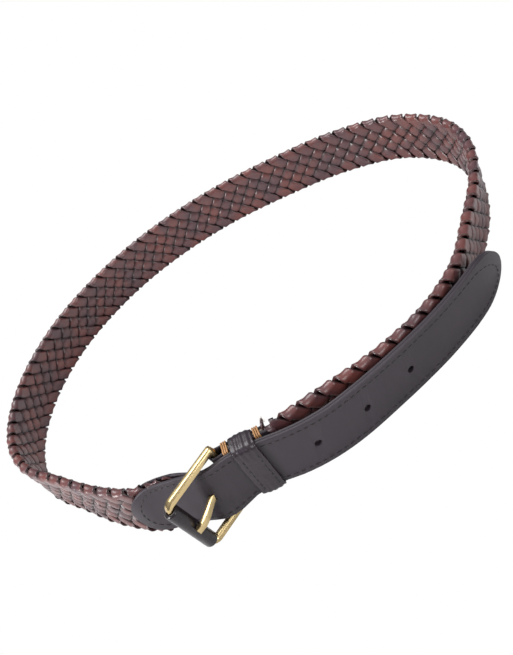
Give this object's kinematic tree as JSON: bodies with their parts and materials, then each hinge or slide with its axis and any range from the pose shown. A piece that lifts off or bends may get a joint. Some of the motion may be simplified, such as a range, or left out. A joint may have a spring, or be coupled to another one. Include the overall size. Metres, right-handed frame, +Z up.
{
  "type": "braided belt",
  "caption": "Braided leather belt buckled into a loop and standing on its edge, with smooth leather tabs, a leather keeper, and a brass buckle frame with a prong and a leather roller.",
  "frame": {"origin": "on the floor, under the middle of the belt's box", "axes": "+X along the loop's long way, +Y from the buckled side to the far side, +Z up"},
  "size_m": [0.3146, 0.231, 0.0438],
  "materials": {
    "braided_leather": "waxed brown leather thongs, braided",
    "smooth_leather": "smooth, near black with a soft sheen",
    "roller_leather": "smooth, black",
    "brass": "polished"
  },
  "bodies": {
    "root": {"braided_band": "braided_leather", "buckle_tab": "smooth_leather", "tip_tab": "smooth_leather", "keeper": "smooth_leather", "buckle_frame": "brass", "prong": "brass", "roller": "roller_leather"}
  },
  "joints": []
}
